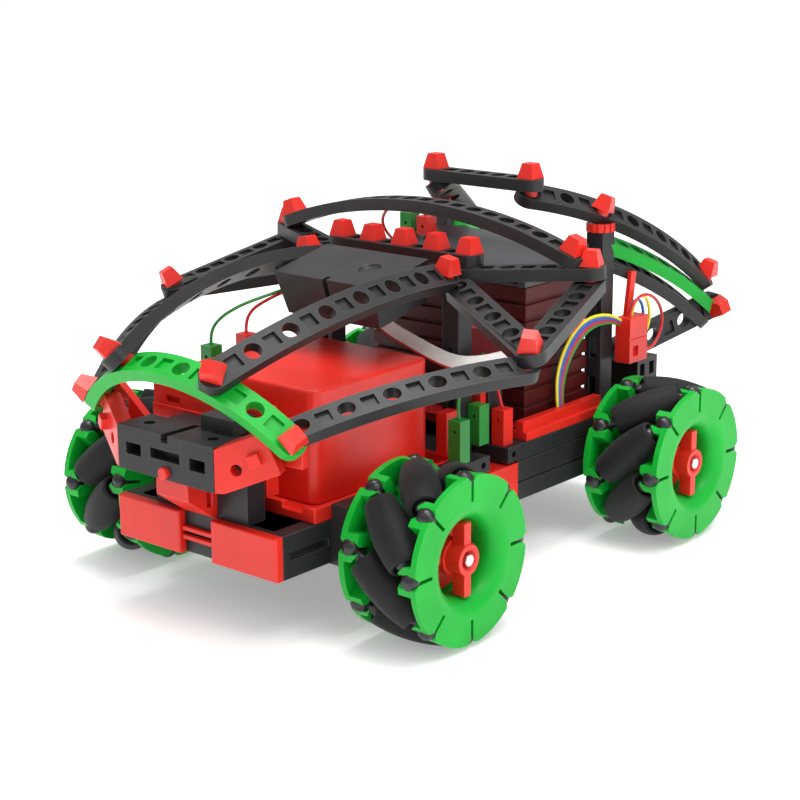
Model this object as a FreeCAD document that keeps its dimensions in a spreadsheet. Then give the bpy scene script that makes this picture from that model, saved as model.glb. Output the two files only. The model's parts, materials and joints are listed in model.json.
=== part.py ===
import FreeCAD, Part
import math
import os

# Mecanum wheel robot: a car-shaped construction-kit robot on four mecanum wheels.
# Frame: +Z up, -Y is the front, +X is the robot's left. Lengths are in millimetres.
# The origin is on the ground, below the middle of the whole model.

Vector = FreeCAD.Vector
Rotation = FreeCAD.Rotation

doc = FreeCAD.newDocument("mecanum_robot")

# ---------------------------------------------------------------- driving dimensions
SIZES = {
    "grid": 15.0,                 # pitch of the kit's blocks and of the strut holes
    "fit_gap": 0.05,              # radial clearance of every running fit
    "piece_gap": 0.1,             # air between neighbouring pieces of the chassis
    "centre_shift": 0.27,         # moves the wheelbase centre to the middle of the model
    "wheelbase": 135.0,
    "track": 135.0,
    "wheel_radius": 30.0,
    "wheel_width": 32.0,
    "rim_radius": 28.4,
    "flange_thick": 2.2,
    "drum_radius": 16.0,
    "drum_flare": 3.6,
    "dish_radius": 13.0,
    "dish_flare": 6.5,
    "roller_circle": 23.2,        # distance from the wheel's axis to a roller's axis
    "roller_skew": 45.0,
    "roller_mid": 6.8,
    "roller_end": 5.17,
    "roller_half": 12.5,
    "sleeve_cup": 2.0,            # depth of the hollow in each end of a sleeve
    "core_radius": 2.6,
    "collar_radius": 3.9,
    "ball_radius": 3.2,
    "ball_offset": 17.8,          # from the middle of a roller to its end ball
    "cup_half": 4.7,              # half of the width of a ball's cup
    "notch_depth": 2.4,
    "slot_width": 1.3,
    "axle_radius": 2.0,
    "wing_span": 25.0,
    "base_low": 23.5,
    "base_half": 37.5,
    "motor_side": 45.0,
    "motor_inner": 15.3,
    "motor_high": 44.0,
    "strut_width": 10.0,
    "strut_thick": 4.4,
    "hole_radius": 3.0,
    "pin_radius": 2.7,
    "head_width": 7.2,
    "head_high": 5.6,
    "wire_radius": 0.6,
}

sheet = doc.addObject("Spreadsheet::Sheet", "dim")
for row, (alias, value) in enumerate(SIZES.items(), start=1):
    sheet.set(f"A{row}", alias)
    sheet.set(f"B{row}", str(value))
    sheet.setAlias(f"B{row}", alias)
doc.recompute()


def size(alias):
    """A driving dimension, read back from the sheet."""
    return float(getattr(sheet, alias))


GRID = size("grid")
BASE_LOW = size("base_low")
BASE_HIGH = BASE_LOW + GRID
AXLE_Z = size("wheel_radius")
MOTOR_TOP = size("motor_high")
STRUT_W = size("strut_width")
STRUT_T = size("strut_thick")
ROOT_SHIFT = Vector(0, size("centre_shift"), 0)

parts = {}          # node name -> document object that is written out


# ---------------------------------------------------------------- small helpers
def bind(item, **formulas):
    """Bind properties to the sheet. An underscore in a name stands for the dot of a path."""
    for name, formula in formulas.items():
        item.setExpression(name.replace("_", "."), str(formula))


def place(item, corner, turn=None):
    """Bind a placement's base to three formulas; a corner of None leaves it to the caller."""
    if turn is not None:
        item.Placement = FreeCAD.Placement(Vector(0, 0, 0), turn)
    for axis, formula in zip("xyz", corner or ()):
        item.setExpression(f"Placement.Base.{axis}", str(formula))
    return item


def box(label, corner, extent, turn=None):
    item = doc.addObject("Part::Box", label)
    bind(item, Length=extent[0], Width=extent[1], Height=extent[2])
    return place(item, corner, turn)


def span_box(label, low, high):
    """A box between two corners whose coordinates are numbers or formulas."""
    extent = [f"({top}) - ({bottom})" for bottom, top in zip(low, high)]
    return box(label, low, extent)


def cylinder(label, radius, height, corner=(0, 0, 0), turn=None):
    item = doc.addObject("Part::Cylinder", label)
    bind(item, Radius=radius, Height=height)
    return place(item, corner, turn)


def cone(label, radius_low, radius_high, height, corner=(0, 0, 0), turn=None):
    item = doc.addObject("Part::Cone", label)
    bind(item, Radius1=radius_low, Radius2=radius_high, Height=height)
    return place(item, corner, turn)


def sphere(label, radius, corner):
    item = doc.addObject("Part::Sphere", label)
    bind(item, Radius=radius)
    return place(item, corner)


def prism(label, outline, along, length):
    """A closed outline swept straight along a direction."""
    line = doc.addObject("Part::Polygon", label + "_outline")
    line.Nodes = [Vector(*point) for point in outline]
    line.Close = True
    item = doc.addObject("Part::Extrusion", label)
    item.Base = line
    item.DirMode = "Custom"
    item.Dir = Vector(*along)
    item.Solid = True
    bind(item, LengthFwd=length)
    return item


def fuse(label, pieces):
    item = doc.addObject("Part::MultiFuse", label)
    item.Shapes = pieces
    return item


def cut(label, base, tools):
    tool = tools[0] if len(tools) == 1 else fuse(label + "_tools", tools)
    item = doc.addObject("Part::Cut", label)
    item.Base = base
    item.Tool = tool
    return item


def common(label, first, second):
    item = doc.addObject("Part::Common", label)
    item.Base = first
    item.Tool = second
    return item


def mirrored(label, source):
    """The same piece on the robot's other side."""
    item = doc.addObject("Part::Mirroring", label)
    item.Source = source
    item.Normal = Vector(1, 0, 0)
    item.Base = Vector(0, 0, 0)
    return item


def both_sides(pieces):
    return pieces + [mirrored(piece.Name + "_right", piece) for piece in pieces]


def node(name, pieces, placement=None):
    """Collect separate solids in one named sub-part with its own placement."""
    item = doc.addObject("Part::Compound", "node_" + name)
    item.Label = name
    item.Links = pieces
    item.Placement = placement or FreeCAD.Placement(ROOT_SHIFT, Rotation())
    parts[name] = item
    return item


def node_of_shapes(name, shapes):
    """A sub-part whose solids are made with Part's own functions."""
    item = doc.addObject("Part::Feature", "node_" + name)
    item.Label = name
    item.Shape = Part.makeCompound(shapes)
    item.Placement = FreeCAD.Placement(ROOT_SHIFT, Rotation())
    parts[name] = item
    return item


# ---------------------------------------------------------------- mecanum wheels
def roller_sleeve():
    """The rubber sleeve: a barrel whose surface stays on the wheel's rolling circle."""
    body = doc.addObject("PartDesign::Body", "sleeve_body")
    sketch = body.newObject("Sketcher::SketchObject", "sleeve_profile")
    plane = next(o for o in body.Origin.OriginFeatures if o.Role == "XZ_Plane")
    sketch.AttachmentSupport = (plane, [""])
    sketch.MapMode = "FlatFace"
    bore, hollow, mid = size("core_radius"), size("collar_radius"), size("roller_mid")
    end, half, cup = size("roller_end"), size("roller_half"), size("sleeve_cup")
    low = [Vector(bore, cup - half, 0), Vector(hollow, cup - half, 0), Vector(hollow, -half, 0),
           Vector(end, -half, 0)]
    top = [Vector(point.x, -point.y, 0) for point in reversed(low)]
    sketch.addGeometry(Part.Arc(low[-1], Vector(mid, 0, 0), top[0]))
    corners = top + low
    for first, second in zip(corners, corners[1:]):
        sketch.addGeometry(Part.LineSegment(first, second))
    turn = body.newObject("PartDesign::Revolution", "sleeve_turned")
    turn.Profile = sketch
    turn.ReferenceAxis = (sketch, ["V_Axis"])
    turn.Angle = 360.0
    body.Tip = turn
    return body


def roller_core():
    """The roller's plastic core: a pin, two collars and two bearing balls."""
    pieces = [cylinder("core_pin", "dim.core_radius", "2 * dim.roller_half",
                       (0, 0, "-dim.roller_half"))]
    for side, sign in (("low", -1), ("high", 1)):
        turn = Rotation(Vector(1, 0, 0), 180) if sign < 0 else Rotation()
        start = f"{sign} * (dim.roller_half - dim.sleeve_cup)"
        pieces.append(cone(f"core_shoulder_{side}", "dim.collar_radius - 0.1", "dim.core_radius",
                           "dim.sleeve_cup", (0, 0, start), turn))
        pieces.append(cylinder(f"core_neck_{side}", "dim.core_radius * 0.75",
                               "dim.ball_offset - dim.roller_half", (0, 0, f"{sign} * dim.roller_half"),
                               turn))
        pieces.append(sphere(f"core_ball_{side}", "dim.ball_radius",
                             (0, 0, f"{sign} * dim.ball_offset")))
    return fuse("roller_core", pieces)


def ball_angle():
    """Angle round the wheel from a roller's middle to its end balls."""
    sideways = size("ball_offset") * math.sin(math.radians(size("roller_skew")))
    return math.degrees(math.atan2(sideways, size("roller_circle")))


def roller_placement(index, hand):
    """Place of one roller in its wheel's frame, whose Z is the axle, outwards."""
    angle = 45.0 * index - hand * ball_angle()
    spin = Rotation(Vector(0, 0, 1), angle)
    tilt = Rotation(Vector(1, 0, 0), -hand * size("roller_skew"))
    base = spin.multVec(Vector(size("roller_circle"), 0, 0))
    return FreeCAD.Placement(base, spin * tilt)


def wheel_rim(name, hand):
    """Two petal flanges on a drum, with a cup for each roller ball."""
    half = "dim.wheel_width / 2"
    inner = f"({half} - dim.flange_thick)"
    blank = cylinder(name + "_blank", "dim.rim_radius", "dim.wheel_width", (0, 0, f"-{half}"))
    channel = cylinder(name + "_channel", "dim.rim_radius + 2", f"2 * {inner}", (0, 0, f"-{inner}"))
    drum = cylinder(name + "_drum", "dim.drum_radius", f"2 * {inner}", (0, 0, f"-{inner}"))
    wide = "dim.drum_radius + dim.drum_flare"
    flares = [cone(name + "_flare_out", "dim.drum_radius", wide, "dim.drum_flare",
                   (0, 0, f"{inner} - dim.drum_flare")),
              cone(name + "_flare_in", wide, "dim.drum_radius", "dim.drum_flare", (0, 0, f"-{inner}"))]
    hollow = cut(name + "_hollow", channel, [drum] + flares)
    spool = cut(name + "_spool", blank, [hollow])

    # Cups: a ball of wall round each roller end, trimmed to the rim's outline.
    walls, pockets, slots = [], [], []
    for index in range(8):
        place_of = roller_placement(index, hand)
        for end in (-1, 1):
            tag = f"{name}_{index}_{'out' if end > 0 else 'in'}"
            centre = place_of.multVec(Vector(0, 0, end * size("ball_offset")))
            pockets.append(sphere(tag + "_pocket", "dim.ball_radius + dim.fit_gap", tuple(centre)))
            angle = math.degrees(math.atan2(centre.y, centre.x))
            spin = Rotation(Vector(0, 0, 1), angle)
            wall = box(tag + "_wall", None, ("dim.rim_radius - 19", "2 * dim.cup_half", 6.0))
            reach = size("wheel_width") / 2 - size("flange_thick")
            base = spin.multVec(Vector(20, -size("cup_half"), reach - 5 if end > 0 else -reach - 1))
            wall.Placement = FreeCAD.Placement(base, spin)
            walls.append(wall)
            slot = box(tag + "_slot", None, ("dim.rim_radius", "dim.slot_width", 9.5))
            low = size("wheel_width") / 2 - 9.0 if end > 0 else -size("wheel_width") / 2 - 0.5
            base = spin.multVec(Vector(20.0, -size("slot_width") / 2, low))
            slot.Placement = FreeCAD.Placement(base, spin)
            notch = box(tag + "_notch", None, (5, 5, 9.5))
            base = spin.multVec(Vector(size("rim_radius") - size("notch_depth"), 0, low))
            notch.Placement = FreeCAD.Placement(base, Rotation(Vector(0, 0, 1), angle - 45.0))
            slots += [slot, notch]
        for step, (wide, reach) in enumerate((("dim.roller_end + 2.0", 6.0), ("dim.roller_end + 1.4", 9.5),
                                              ("dim.roller_end + 0.7", 14.2), ("dim.core_radius", 16.5))):
            sweep = cylinder(f"{name}_{index}_path_{step}", wide, 2 * reach, None)
            sweep.Placement = place_of * FreeCAD.Placement(Vector(0, 0, -reach), Rotation())
            pockets.append(sweep)
    cups = common(name + "_cups", fuse(name + "_walls", walls),
                  cylinder(name + "_outline", "dim.rim_radius", "dim.wheel_width", (0, 0, f"-{half}")))

    # Dish: a bore that opens through a rounded lip into the outer flange.
    mouth = cylinder(name + "_mouth", "dim.dish_radius + dim.dish_flare", "dim.dish_flare",
                     (0, 0, f"{half} - dim.dish_flare"))
    ring = doc.addObject("Part::Torus", name + "_lip")
    bind(ring, Radius1="dim.dish_radius + dim.dish_flare", Radius2="dim.dish_flare")
    place(ring, (0, 0, f"{half} - dim.dish_flare"))
    dish = [cut(name + "_mouth_cut", mouth, [ring]),
            cylinder(name + "_bowl", "dim.dish_radius", f"{half} - 1", (0, 0, 1)),
            cylinder(name + "_back", "dim.dish_radius + 0.8", f"{half} - 3", (0, 0, f"-{half}")),
            cylinder(name + "_bore", 4.6, 8, (0, 0, -5))]
    whole = fuse(name + "_whole", [spool, cups])
    return cut(name, whole, pockets + slots + dish)


def wheel_hub():
    """Red hub plate and wing nut on the steel axle, as three solids."""
    axle = cylinder("axle", "dim.axle_radius", 43.4, (0, 0, -28.4))
    plate = fuse("hub_plate_blank", [
        cylinder("hub_disc", "dim.dish_radius - 0.6", 2.4, (0, 0, 1.02)),
        cylinder("hub_sleeve", 4.5, 25.0, (0, 0, -21.8)),
        cylinder("hub_boss", 6.2, 6.0, (0, 0, 3.0)),
        box("hub_rib", ("-dim.dish_radius + 1.4", -1.2, 3.2), ("2 * dim.dish_radius - 2.8", 2.4, 4.5)),
    ])
    wing = fuse("wing_nut_blank", [
        cylinder("wing_ring", 5.2, 5.6, (0, 0, 9.1)),
        box("wing_bar", (-1.7, "-dim.wing_span / 2", 9.1), (3.4, "dim.wing_span", 5.0)),
    ])
    rounded = cylinder("wing_outline", "dim.wing_span / 2", 6.0, (0, 0, 9.0))
    wing = common("wing_nut_trim", wing, rounded)
    bore = "dim.axle_radius"
    return [axle,
            cut("hub_plate", plate, [cylinder("plate_bore", bore, 60, (0, 0, -30))]),
            cut("wing_nut", wing, [cylinder("wing_bore", bore, 60, (0, 0, -30)),
                                   cone("wing_dimple", bore, 3.6, 2.0, (0, 0, 12.8))])]


sleeve = roller_sleeve()
core = roller_core()
rims = {1: wheel_rim("rim_left_hand", 1), -1: wheel_rim("rim_right_hand", -1)}
hub = wheel_hub()

OUTWARD = {1: Rotation(Vector(0, 1, 0), Vector(0, 0, 1), Vector(1, 0, 0), "XYZ"),
           -1: Rotation(Vector(0, 1, 0), Vector(0, 0, -1), Vector(-1, 0, 0), "XYZ")}
WHEELS = {"fl": (1, -1), "fr": (-1, -1), "rl": (1, 1), "rr": (-1, 1)}

for corner, (side, end) in WHEELS.items():
    hand = -side * end
    centre = Vector(side * size("track") / 2, end * size("wheelbase") / 2, AXLE_Z)
    wheel = FreeCAD.Placement(centre + ROOT_SHIFT, OUTWARD[side])
    node(f"wheel_rim_{corner}", [rims[hand]], wheel)
    node(f"wheel_hub_{corner}", hub, wheel)
    for index in range(8):
        node(f"roller_{corner}_{index + 1}", [sleeve, core], wheel * roller_placement(index, hand))

# ---------------------------------------------------------------- chassis
GAP = size("piece_gap")
FRONT_Y = -106.5                 # front face of the chassis blocks
BLOCK_Y = -84.2                  # where the front blocks end and the motors begin
REAR_Y = 98.0


def grooved(label, low, high, grooves):
    """A black block with shallow grooves cut by boxes given as corner pairs."""
    blank = span_box(label + "_blank", low, high)
    cutters = [span_box(f"{label}_groove_{n}", a, b) for n, (a, b) in enumerate(grooves)]
    return cut(label, blank, cutters)


side_grooves = []
for sign in (-1, 1):
    inner, outer = sorted((sign * 35.9, sign * 38.0))
    side_grooves.append(((inner, FRONT_Y + 3, 29.6), (outer, BLOCK_Y - 1, 32.4)))
top_grooves = [((x - 1.4, FRONT_Y + 2.5, BASE_HIGH - 1.4), (x + 1.4, BLOCK_Y - 1, BASE_HIGH + 1))
               for x in (-30, 0, 30)]
front_block = grooved("front_block", ("-dim.base_half", FRONT_Y, "dim.base_low"),
                      ("dim.base_half", BLOCK_Y, "dim.base_low + dim.grid"),
                      side_grooves + top_grooves)
spine = grooved("spine", (-15, BLOCK_Y + GAP, "dim.base_low"),
                (15, 82.0, "dim.base_low + dim.grid"),
                [((x - 1.4, -80, BASE_LOW - 1), (x + 1.4, 78, BASE_LOW + 1.4)) for x in (-7.5, 7.5)])
rear_block = grooved("rear_block", ("-dim.base_half", 82.0 + GAP, "dim.base_low"),
                     ("dim.base_half", REAR_Y, "dim.base_low + dim.grid"),
                     [((x - 1.4, REAR_Y - 1.5, BASE_LOW + 2), (x + 1.4, REAR_Y + 1, BASE_HIGH - 2))
                      for x in (-30, -15, 0, 15, 30)])
node("chassis_base", [front_block, spine, rear_block])


def motor(label, lower, upper, axle_y):
    """A geared motor: a lower body, an upper gearbox strip and an output bearing."""
    low = span_box(label + "_lower", *lower)
    top = span_box(label + "_upper", *upper)
    front, back = upper[0][1], upper[1][1]
    tools = [
        span_box(label + "_seam", (44.2, lower[0][1] - 1, 29.4), (46, lower[1][1] + 1, 30.4)),
        span_box(label + "_ledge", (44.4, front - 1, 37.6), (46, back + 1, 38.4)),
        cylinder(label + "_bearing", "dim.axle_radius + dim.fit_gap", 8,
                 ("dim.motor_side - 7", axle_y, AXLE_Z), Rotation(Vector(0, 1, 0), 90)),
    ]
    for n, y in enumerate((front + 3.6, back - 3.6)):
        tools.append(cylinder(f"{label}_screw_hole_{n}", 1.3, 6, (40, y, MOTOR_TOP - 2.9),
                              Rotation(Vector(0, 1, 0), 90)))
    return cut(label, fuse(label + "_blank", [low, top]), tools)


front_motor = motor(
    "front_motor", (("dim.motor_inner", BLOCK_Y + GAP, 23), ("dim.motor_side", -11, 38.2)),
    ((38.0, BLOCK_Y + GAP, 38.2), ("dim.motor_side", -9, "dim.motor_high")), -67.5)
rear_motor = motor(
    "rear_motor", (("dim.motor_inner", 7.8, 23), ("dim.motor_side", 82, 38.2)),
    (("dim.motor_inner", 1.6, 38.2), ("dim.motor_side", 82, "dim.motor_high")), 67.5)
front_motors = node("front_motors", both_sides([front_motor]))
rear_motors = node("rear_motors", both_sides([rear_motor]))

# Two red plates and a two-bar grille close the front of the chassis.
plate = span_box("front_plate_blank", (7.5, FRONT_Y - 3.3, "dim.base_low"),
                 (37.5, FRONT_Y - 0.02, "dim.base_low + dim.grid"))
doc.recompute()
rounded_plate = doc.addObject("Part::Fillet", "front_plate")
rounded_plate.Base = plate
front_edges = [n for n, edge in enumerate(plate.Shape.Edges, start=1)
               if abs(edge.CenterOfMass.y - (FRONT_Y - 3.3)) < 0.01]
rounded_plate.Edges = [(n, 0.8, 0.8) for n in front_edges]
bars = [span_box(f"grille_bar_{n}", (-7.4, FRONT_Y - 2.0, z), (7.4, FRONT_Y - 0.02, z + 1.5))
        for n, z in enumerate((28.6, 31.6))]
node("front_plates", both_sides([rounded_plate]) + bars)

# ---------------------------------------------------------------- bumper
BUMPER_Y = -121.5
BUMPER_Z = 53.7


def bumper_block(label, x):
    blank = span_box(label + "_blank", (x + GAP / 2, BUMPER_Y, BUMPER_Z),
                     (x + GRID - GAP / 2, BUMPER_Y + GRID, BUMPER_Z + GRID))
    mid = x + GRID / 2
    tools = [span_box(label + "_window", (mid - 3.6, BUMPER_Y - 1, BUMPER_Z + 5.6),
                      (mid + 3.6, BUMPER_Y + 9, BUMPER_Z + 9.6)),
             cylinder(label + "_top_hole", 2.0, 4, (mid, BUMPER_Y + 7.5, BUMPER_Z + GRID - 3))]
    return cut(label, blank, tools)


def bumper_centre():
    blank = span_box("bumper_centre_blank", (-7.45, BUMPER_Y, BUMPER_Z),
                     (7.45, BUMPER_Y + GRID, BUMPER_Z + GRID))
    tools = [span_box("bumper_slot", (-6.9, BUMPER_Y - 1, BUMPER_Z + 6.4),
                      (6.9, BUMPER_Y + 4, BUMPER_Z + 9.8)),
             span_box("bumper_groove", (-1.6, BUMPER_Y - 1, BUMPER_Z + 12.4),
                      (1.6, BUMPER_Y + 16, BUMPER_Z + 16)),
             cylinder("bumper_pin_hole", 2.1, 4, (0, BUMPER_Y + 3, BUMPER_Z + 2.4),
                      Rotation(Vector(1, 0, 0), 90))]
    return cut("bumper_centre", blank, tools)


rear_row = [span_box("bumper_back", (-15, BUMPER_Y + GRID + GAP, BUMPER_Z),
                     (15, -98.2, BUMPER_Z + GRID)),
            span_box("bumper_cap", (3.5, -108.5, BUMPER_Z + GRID + GAP),
                     (18.5, -98.4, BUMPER_Z + GRID + 5))]
columns = both_sides([span_box("bumper_column", (7.8, -106.2, BASE_HIGH + GAP),
                               (21.6, -98.2, BUMPER_Z - GAP))])
node("bumper_blocks", [bumper_block("bumper_left", 7.5), bumper_block("bumper_right", -22.5),
                       bumper_centre()] + rear_row + columns)


def angle_bracket():
    """Red block on the bumper's end, turned outwards and tipped up towards the arch."""
    yaw, pitch = Rotation(Vector(0, 0, 1), 27), Rotation(Vector(0, 1, 0), -22)
    turn = yaw * pitch
    corner = Vector(22.5, BUMPER_Y, BUMPER_Z + GRID - 0.6) - turn.multVec(Vector(6, 0, 14.6))
    blank = box("angle_blank", tuple(corner), (24, 5.5, 14.6), turn)
    inboard = span_box("angle_inboard", (0, -140, 40), (22.6, -90, 90))
    low = span_box("angle_low", (0, -140, 40), (60, -90, BUMPER_Z - 0.01))
    hole_base = corner + turn.multVec(Vector(10.5, -1, 6.0))
    hole = cylinder("angle_hole", 1.9, 8, tuple(hole_base), turn * Rotation(Vector(1, 0, 0), -90))
    stud_base = corner + turn.multVec(Vector(16.0, -2.6, 5.2))
    stud = box("angle_stud", tuple(stud_base), (4.2, 3.0, 4.2), turn)
    return fuse("angle_bracket", [cut("angle_body", blank, [inboard, low, hole]), stud])


def arch_bracket():
    """Red triangle that carries one end of the green arch."""
    blank = prism("arch_bracket_blank", [(19.0, -106.3, 62.0), (46.5, -106.3, 62.5),
                                         (47.0, -106.3, 73.0), (40.0, -106.3, 78.0)],
                  (0, 1, 0), 2.8)
    return cut("arch_bracket", blank, [span_box("arch_bracket_hole", (34.4, -108, 67.6), (38.2, -102, 71.2))])


def chin():
    """Red wedge under the middle of the bumper, sloping back to the chassis."""
    outline = [(-7.5, -119.0, BUMPER_Z - GAP), (-7.5, -119.0, 47.0), (-7.5, -107.5, BASE_HIGH + GAP),
               (-7.5, -99.0, BASE_HIGH + GAP), (-7.5, -99.0, BUMPER_Z - GAP)]
    blank = prism("chin_blank", outline, (1, 0, 0), "dim.grid")
    return cut("chin", blank, [span_box("chin_slot", (4, -110.5, 43), (9, -108.5, 50.5))])


pin = cylinder("bumper_pin", 2.0, 4.6, (0, BUMPER_Y + 3, BUMPER_Z + 2.4), Rotation(Vector(1, 0, 0), 90))
node("bumper_brackets", both_sides([angle_bracket(), arch_bracket()]) + [chin(), pin])

# ---------------------------------------------------------------- battery and tray
tray_blank = span_box("tray_blank", ("-dim.base_half", -91.5, BASE_HIGH + GAP),
                      ("dim.base_half", -16.0, BASE_HIGH + 5.2))
tray_floor = span_box("tray_recess", ("-dim.base_half + 2.4", -89.2, BASE_HIGH + 2.4),
                      ("dim.base_half - 2.4", -18.2, BASE_HIGH + 6))
tray_gates = [span_box(f"tray_gate_{n}", (x, -92.5, BASE_HIGH + 3.0), (x + 9, -88, BASE_HIGH + 6))
              for n, x in enumerate((-32, 23))]
node("battery_tray", [cut("battery_tray_body", tray_blank, [tray_floor] + tray_gates)])

battery_blank = span_box("battery_blank", (-30, -83, BASE_HIGH + 2.6), (30, -24, 80.2))
doc.recompute()
battery_box = doc.addObject("Part::Fillet", "battery_box_body")
battery_box.Base = battery_blank
battery_edges = []
for n, edge in enumerate(battery_blank.Shape.Edges, start=1):
    upright = abs(edge.tangentAt(edge.FirstParameter).z) > 0.9
    on_top = abs(edge.CenterOfMass.z - 80.2) < 0.01
    if upright or on_top:
        battery_edges.append((n, 4.0, 4.0) if upright else (n, 1.2, 1.2))
battery_box.Edges = battery_edges
node("battery_box", [battery_box])

# ---------------------------------------------------------------- sensor housing
HOUSING_TILT = 12.0


def sensor_housing():
    wedge = doc.addObject("Part::Wedge", "housing_blank")
    sizes = {"Xmin": -21.5, "Xmax": 21.5, "Zmin": -13.0, "Zmax": 13.0, "Ymin": 0.0, "Ymax": 16.0,
             "X2min": -24.0, "X2max": 24.0, "Z2min": -14.2, "Z2max": 14.2}
    for name, value in sizes.items():
        setattr(wedge, name, value)
    wedge.Placement = FreeCAD.Placement(Vector(0, 0, 0), Rotation(Vector(1, 0, 0), 90))
    dent = cone("housing_dent", 3.4, 4.8, 1.6, (9, 0, 15.0))
    notch = span_box("housing_notch", (-1.1, -16, 8.0), (1.1, -11.4, 17))
    foot = span_box("housing_foot", (-5, -12.6, -2.2), (3, -6, 0.4))
    body = cut("housing_body", wedge, [dent, notch])
    return fuse("sensor_housing_body", [body, foot])


housing_turn = Rotation(Vector(1, 0, 0), HOUSING_TILT)
housing_base = Vector(0, -31.2, 110.3) - housing_turn.multVec(Vector(0, 0, 16.0))
node("sensor_housing", [sensor_housing()],
     FreeCAD.Placement(housing_base + ROOT_SHIFT, housing_turn))

# ---------------------------------------------------------------- controller
CASE_FRONT = 22.0
CASE_BACK = 61.0
CASE_TOP = 98.0
case_blank = span_box("case_blank", (-37, CASE_FRONT, 48.0), (37, CASE_BACK, CASE_TOP))
case_ribs = []
for n in range(7):
    z = 53.0 + 6.4 * n
    rib = cut(f"case_rib_{n}", span_box(f"rib_out_{n}", (-38, CASE_FRONT - 1, z), (38, CASE_BACK + 1, z + 1.4)),
              [span_box(f"rib_in_{n}", (-35.8, CASE_FRONT + 1.4, z - 1), (35.8, CASE_BACK - 1.4, z + 3))])
    case_ribs.append(rib)
node("controller_case", [cut("controller_case_body", case_blank, case_ribs)])

cover_outline = [(-37.3, CASE_FRONT - 1, CASE_TOP + GAP), (-37.3, CASE_FRONT - 1, 102.5),
                 (-37.3, 44.5, 108.8), (-37.3, CASE_BACK, 108.8), (-37.3, CASE_BACK, CASE_TOP + GAP)]
cover = prism("cover_blank", cover_outline, (1, 0, 0), 74.6)
sockets = [span_box(f"cover_socket_{n}", (x, CASE_FRONT - 2, 99.2), (x + 6, CASE_FRONT + 4, 101.4))
           for n, x in enumerate((-30, -18, -6, 6, 18, 28))]
node("controller_cover", [cut("controller_cover_body", cover, sockets)])

# ---------------------------------------------------------------- uprights
PILLAR = GRID / 2


def pillar(label, x, y, low, high):
    blank = span_box(label + "_blank", (x - PILLAR / 2, y - PILLAR / 2, low),
                     (x + PILLAR / 2, y + PILLAR / 2, high))
    tools = []
    count = int((high - low - 6) // GRID)
    for n in range(count):
        z = low + 5 + n * GRID
        tools.append(span_box(f"{label}_slot_{n}", (x - 1.5, y - PILLAR, z), (x + 1.5, y + PILLAR, z + 8)))
    return cut(label, blank, tools)


POST_X, POST_Y = 37.6, 67.6
POST_TOP = 112.6
uprights = [pillar("front_pillar", 30.0, -9.0, BASE_HIGH + GAP, 104.4),
            pillar("rear_post", POST_X, POST_Y, MOTOR_TOP + GAP, POST_TOP),
            span_box("side_column", (28.2, 1.8, MOTOR_TOP + GAP), (36.0, 9.6, 66.0)),
            cut("rear_connector", span_box("rear_connector_blank", (30.0, 84.0, BASE_HIGH + GAP),
                                           (45.0, 97.8, 60.5)),
                [span_box(f"rear_window_{n}", (30.0 + shift, 95, 50.0), (34.0 + shift, 99, 57.5))
                 for n, shift in enumerate((2.2, 8.6))]
                + [span_box(f"side_window_{n}", (42, y, 53.4), (46, y + 3.0, 58.4))
                   for n, y in enumerate((86.0, 92.4))])]
node("support_pillars", both_sides(uprights))

# ---------------------------------------------------------------- red fittings
beam = fuse("side_beam", [span_box("beam_low", (38.2, 13, MOTOR_TOP + GAP), (44.8, 62.0, 47.2)),
                          span_box("beam_high", (39.8, 13, 47.2), (43.2, 62.0, 51.0))])
fittings = [span_box("side_block", (30.2, -8.6, 23), (45, 7.6, 37.4)),
            span_box("side_panel_front", (30.0, -20.6, MOTOR_TOP + GAP), (34.6, -14.0, 60.0)),
            span_box("side_panel_back", (30.2, -1.4, MOTOR_TOP + GAP), (34.8, 1.6, 72.0)),
            beam]
deck = span_box("deck_plate", (-36, 12, MOTOR_TOP + GAP), (36, 63, 47.4))
nose = cut("nose_piece",
           fuse("nose_blank", [span_box("nose_plate", (-31, -97.4, MOTOR_TOP + 2), (22, -92, 76)),
                               span_box("nose_lip", (-31, -98.1, 53.8), (22, -97, 69.5))]),
           [span_box("nose_slot", (-25, -99, 70.6), (-18, -95, 73.0))])
roof_plate = span_box("roof_plate", (-24, -14.6, 106.0), (26, -8.0, 108.4))
washers = []
for sign in (-1, 1):
    side = "left" if sign > 0 else "right"
    teeth = [box(f"washer_tooth_{side}_{n}", None, (1.2, 1.2, 3.2)) for n in range(12)]
    for n, tooth in enumerate(teeth):
        spin = Rotation(Vector(0, 0, 1), 30.0 * n)
        base = Vector(sign * POST_X, POST_Y, POST_TOP + GAP) + spin.multVec(Vector(4.2, -0.6, 0))
        tooth.Placement = FreeCAD.Placement(base, spin)
    washers.append(fuse(f"toothed_washer_{side}", teeth + [
        cylinder(f"washer_disc_{side}", 4.6, 3.0, (sign * POST_X, POST_Y, POST_TOP + GAP))]))
panel = span_box("case_panel", (10.0, 15.0, 66.0), (33.0, 20.8, 82.0))
sensor_block = cut("rear_sensor", span_box("rear_sensor_blank", (43.6, 70.0, 62.6), (50.4, 82.0, 80.0)),
                   [span_box("rear_sensor_slot", (49, 72.4, 65.0), (52, 75.8, 69.0)),
                    span_box("rear_sensor_seam", (50, 69, 71.6), (52, 83, 72.2))])
strip = box("red_strip", ("44.0", "74.4", "80.1"), (1.8, 3.4, 17.0), Rotation(Vector(1, 0, 0), -9))
node("red_fittings", both_sides(fittings) + [deck, nose, roof_plate, panel, sensor_block, strip] + washers)


# ---------------------------------------------------------------- struts of the body shell
def unit(vector):
    return Vector(vector).normalize()


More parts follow.
